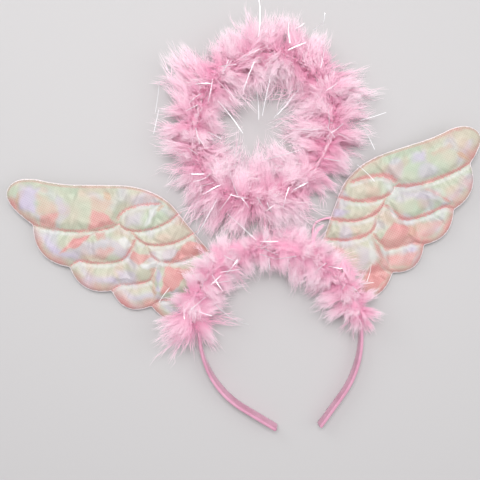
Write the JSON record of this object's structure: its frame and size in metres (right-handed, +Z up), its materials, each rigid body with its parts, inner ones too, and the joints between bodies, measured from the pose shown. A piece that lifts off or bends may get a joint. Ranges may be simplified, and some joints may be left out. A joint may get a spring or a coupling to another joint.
{
  "type": "halo headband",
  "caption": "Satin-wrapped hair band with quilted cloth wings and a wire halo on a stem, trimmed with marabou boa along the crown and round the halo, lying on its back.",
  "frame": {"origin": "centre of the assembly's footprint on the surface that it lies on", "axes": "+X to the right along the wings' span, +Y from the band's open ends to the halo, +Z up from the surface"},
  "size_m": [0.3524, 0.3076, 0.0278],
  "materials": {
    "satin": "pink satin ribbon, wrapped and glued",
    "pearl_cloth": "iridescent pearl cloth, cream with green and salmon lights",
    "covered_wire": "steel wire wound with pink foil thread",
    "marabou": "pink marabou down"
  },
  "bodies": {
    "root": {"hair_band": "satin", "wing_left": "pearl_cloth", "wing_right": "pearl_cloth", "wing_stay": "covered_wire", "halo_wire": "covered_wire", "halo_trim": "marabou", "crown_trim": "marabou"}
  },
  "joints": []
}
